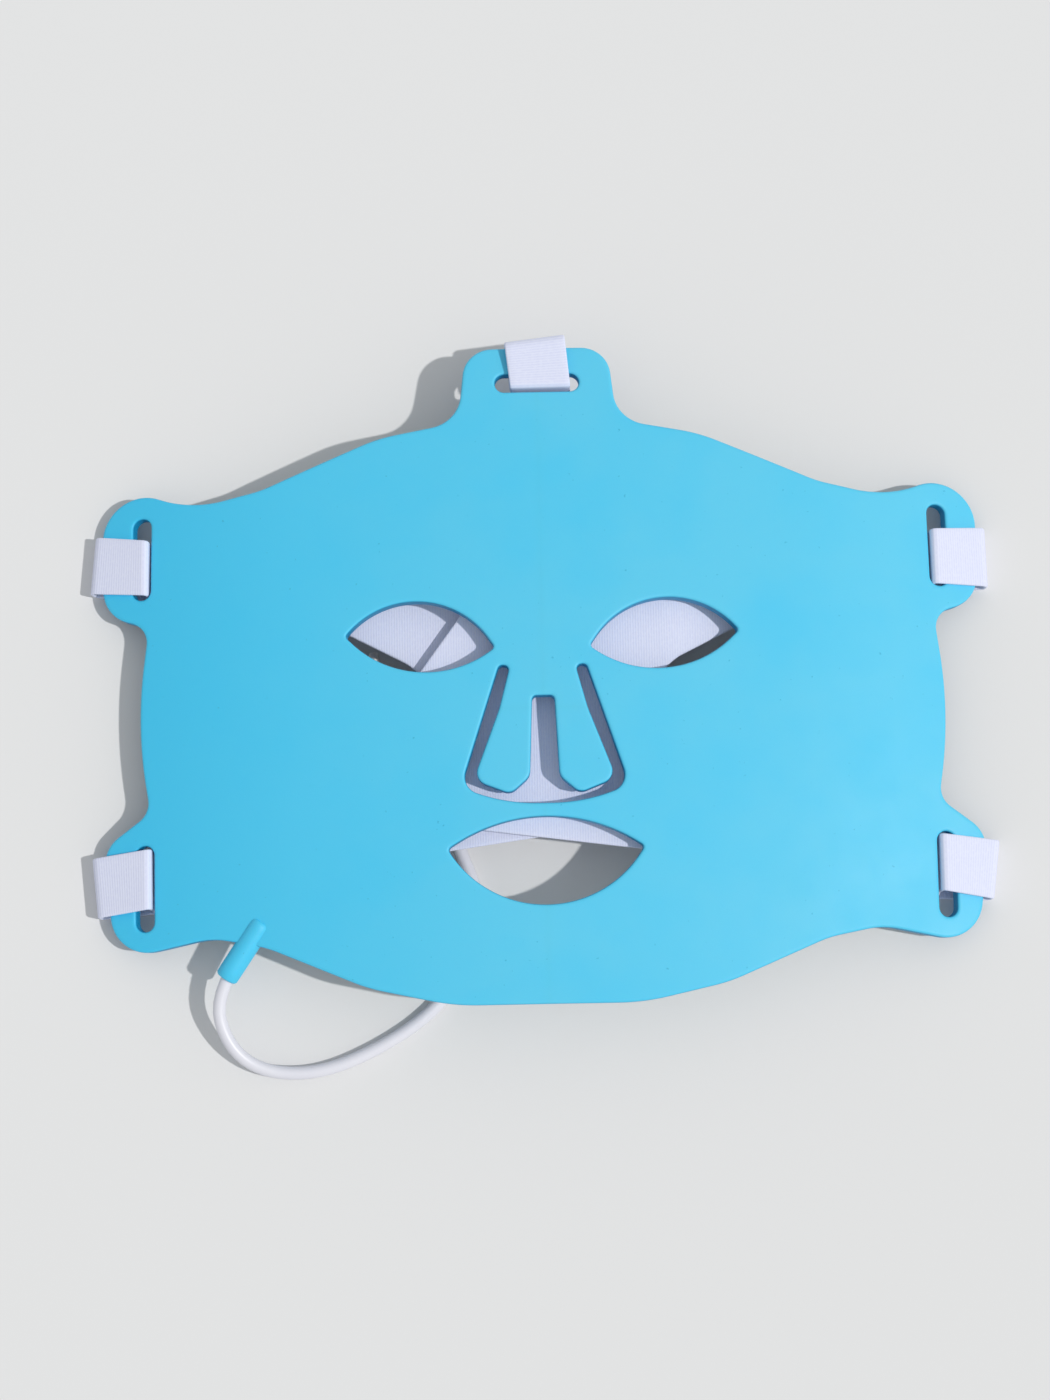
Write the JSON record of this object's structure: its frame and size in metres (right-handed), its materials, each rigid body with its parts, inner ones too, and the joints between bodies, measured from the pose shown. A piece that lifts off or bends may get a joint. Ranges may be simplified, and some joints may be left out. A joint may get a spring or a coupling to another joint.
{
  "type": "led face mask",
  "caption": "Flexible silicone light therapy face mask with eye, nose and mouth openings, corner strap slots, a sewn webbing harness and a thin power lead.",
  "frame": {"origin": "on the surface that the mask lies on, under the middle of its outline", "axes": "+X to the right of someone looking at its front, +Y towards the forehead, +Z out of the front"},
  "size_m": [0.3152, 0.2563, 0.03],
  "materials": {
    "blue_silicone": "satin matte silicone",
    "milky_silicone": "translucent milky silicone",
    "circuit_film": "white coated film",
    "red_led": "clear red resin",
    "infrared_led": "dark resin",
    "clear_window": "clear silicone",
    "white_webbing": "ribbed elastic webbing",
    "hook_tape": "hook tape",
    "dark_plastic": "moulded",
    "wire_insulation": "extruded insulation",
    "white_cable": "matte white sheath",
    "plated_metal": "nickel plated"
  },
  "bodies": {
    "center": {"front_cover_center": "blue_silicone", "rear_cover_center": "milky_silicone", "flex_circuit_center": "circuit_film", "red_leds_center": "red_led", "infrared_leds_center": "infrared_led", "led_windows_center": "clear_window", "strap_loop_top": "white_webbing"},
    "left_wing": {"front_cover_left": "blue_silicone", "rear_cover_left": "milky_silicone", "flex_circuit_left": "circuit_film", "red_leds_left": "red_led", "infrared_leds_left": "infrared_led", "led_windows_left": "clear_window", "cable_boot": "blue_silicone", "cable_terminal_block": "dark_plastic", "lead_wires": "wire_insulation", "strap_loop_upper_left": "white_webbing", "strap_loop_lower_left": "white_webbing"},
    "right_wing": {"front_cover_right": "blue_silicone", "rear_cover_right": "milky_silicone", "flex_circuit_right": "circuit_film", "red_leds_right": "red_led", "infrared_leds_right": "infrared_led", "led_windows_right": "clear_window", "strap_loop_upper_right": "white_webbing", "strap_loop_lower_right": "white_webbing"},
    "nose_flap_left": {"nose_flap_left": "blue_silicone", "nose_flap_lining_left": "milky_silicone"},
    "nose_flap_right": {"nose_flap_right": "blue_silicone", "nose_flap_lining_right": "milky_silicone"},
    "left_harness": {"back_panel_left": "white_webbing", "strap_arm_upper_left": "white_webbing", "strap_arm_lower_left": "white_webbing", "cable": "white_cable", "cable_coil": "white_cable", "cable_tail": "white_cable", "plug_strain_relief": "white_cable", "plug_grip": "white_cable", "plug_barrel": "plated_metal", "plug_insulator": "dark_plastic"},
    "right_harness": {"back_panel_right": "white_webbing", "strap_arm_upper_right": "white_webbing", "strap_arm_lower_right": "white_webbing", "hook_patch": "hook_tape"},
    "top_strap": {"top_strap": "white_webbing", "top_strap_hook_patch": "hook_tape"}
  },
  "joints": [
    {"name": "left_wing_wrap", "type": "hinge", "parent": "center", "child": "left_wing", "pos_m": [-0.085, -0.0185, 0.0155], "axis": [0, -1, 0], "range_deg": [0, 40], "stiffness_Nm_per_rad": 0.2},
    {"name": "right_wing_wrap", "type": "hinge", "parent": "center", "child": "right_wing", "pos_m": [0.085, -0.0185, 0.0155], "axis": [0, 1, 0], "range_deg": [0, 40], "stiffness_Nm_per_rad": 0.2},
    {"name": "left_harness_fold", "type": "hinge", "parent": "left_wing", "child": "left_harness", "pos_m": [-0.13455, -0.018, 0], "axis": [0, 1, 0], "range_deg": [0, 40], "deforming": ["cable"]},
    {"name": "right_harness_fold", "type": "hinge", "parent": "right_wing", "child": "right_harness", "pos_m": [0.13455, -0.018, 0], "axis": [0, -1, 0], "range_deg": [0, 40]},
    {"name": "top_strap_swing", "type": "hinge", "parent": "center", "child": "top_strap", "pos_m": [0, 0.0958, 0.0159], "axis": [1, 0, 0], "range_deg": [0, 150]},
    {"name": "nose_flap_left_lift", "type": "hinge", "parent": "center", "child": "nose_flap_left", "pos_m": [-0.0097, -0.01785, 0.03005], "axis": [-1, 0, 0], "range_deg": [-3, 35], "stiffness_Nm_per_rad": 0.03},
    {"name": "nose_flap_right_lift", "type": "hinge", "parent": "center", "child": "nose_flap_right", "pos_m": [0.0097, -0.01785, 0.03005], "axis": [-1, 0, 0], "range_deg": [-3, 35], "stiffness_Nm_per_rad": 0.03}
  ],
  "couplings": [
    {"joint": "right_wing_wrap", "follows": "left_wing_wrap", "ratio": 1},
    {"joint": "left_harness_fold", "follows": "left_wing_wrap", "ratio": 1},
    {"joint": "right_harness_fold", "follows": "left_wing_wrap", "ratio": 1}
  ]
}
